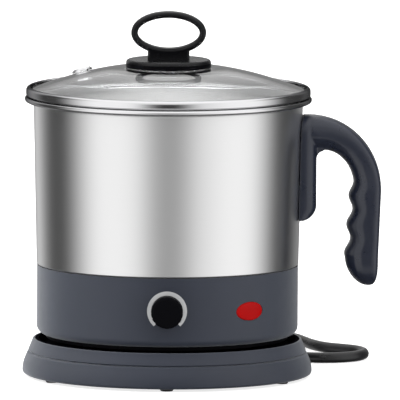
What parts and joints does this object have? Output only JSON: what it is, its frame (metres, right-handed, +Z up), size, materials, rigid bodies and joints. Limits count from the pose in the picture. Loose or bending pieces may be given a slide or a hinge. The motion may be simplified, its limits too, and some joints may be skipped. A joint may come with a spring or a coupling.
{
  "type": "electric multi kettle",
  "caption": "Electric multi kettle: steel pot with a glass lift-off lid, heated plastic body with a dial, open handle and a round cordless power base with a mains lead.",
  "frame": {"origin": "on the pot's axis, in the plane that the six feet stand on", "axes": "+Z up along the pot's axis, +X towards the handle, -Y towards the dial, +Y towards the lead's exit"},
  "size_m": [0.2144, 0.3355, 0.2193],
  "materials": {
    "blue_grey_plastic": "satin moulded",
    "black_plastic": "semi gloss moulded",
    "rubber": "matte",
    "zinc_steel": "zinc plated",
    "brass": "plain",
    "cord_pvc": "glossy flexible sheath",
    "brushed_steel": "brushed",
    "aluminium": "plain",
    "red_lens": "clear red",
    "lid_glass": "clear"
  },
  "bodies": {
    "power_base": {"base_tray": "blue_grey_plastic", "base_cover": "blue_grey_plastic", "base_feet": "rubber", "base_screws": "zinc_steel", "base_coupler": "black_plastic", "base_contacts": "brass", "strain_relief": "cord_pvc", "cord_lead": "cord_pvc", "cord_coil": "cord_pvc", "cord_tail": "cord_pvc", "cord_tie": "rubber", "plug_body": "cord_pvc", "plug_pins": "brass"},
    "coupler": {"kettle_coupler": "black_plastic", "coupler_contacts": "brass"},
    "kettle": {"pot": "brushed_steel", "heat_plate": "aluminium", "heating_element": "zinc_steel", "safety_cutout": "black_plastic", "body_shell": "blue_grey_plastic", "shell_seal": "rubber", "bottom_cover": "black_plastic", "cover_screws": "zinc_steel", "thermostat": "black_plastic", "thermostat_nut": "zinc_steel", "pilot_lens": "red_lens", "pilot_lamp": "zinc_steel", "handle_bracket": "zinc_steel", "handle": "blue_grey_plastic", "handle_screws": "zinc_steel"},
    "dial": {"dial_knob": "black_plastic", "thermostat_shaft": "zinc_steel"},
    "lid": {"lid_glass": "lid_glass", "lid_rim": "brushed_steel", "lid_knob": "black_plastic", "knob_gasket": "rubber", "knob_screw": "zinc_steel", "screw_washer": "rubber", "vent_eyelet": "brushed_steel"}
  },
  "joints": [
    {"name": "kettle_lift", "type": "slide", "parent": "power_base", "child": "coupler", "axis": [0, 0, 1], "range_m": [0, 0.08]},
    {"name": "kettle_swivel", "type": "hinge", "parent": "coupler", "child": "kettle", "pos_m": [0, 0, 0.03], "axis": [0, 0, 1], "continuous": true},
    {"name": "dial_turn", "type": "hinge", "parent": "kettle", "child": "dial", "pos_m": [0, -0.083, 0.0475], "axis": [0, 1, 0], "range_deg": [0, 270]},
    {"name": "lid_lift", "type": "slide", "parent": "kettle", "child": "lid", "axis": [0, 0, 1], "range_m": [0, 0.06]}
  ]
}
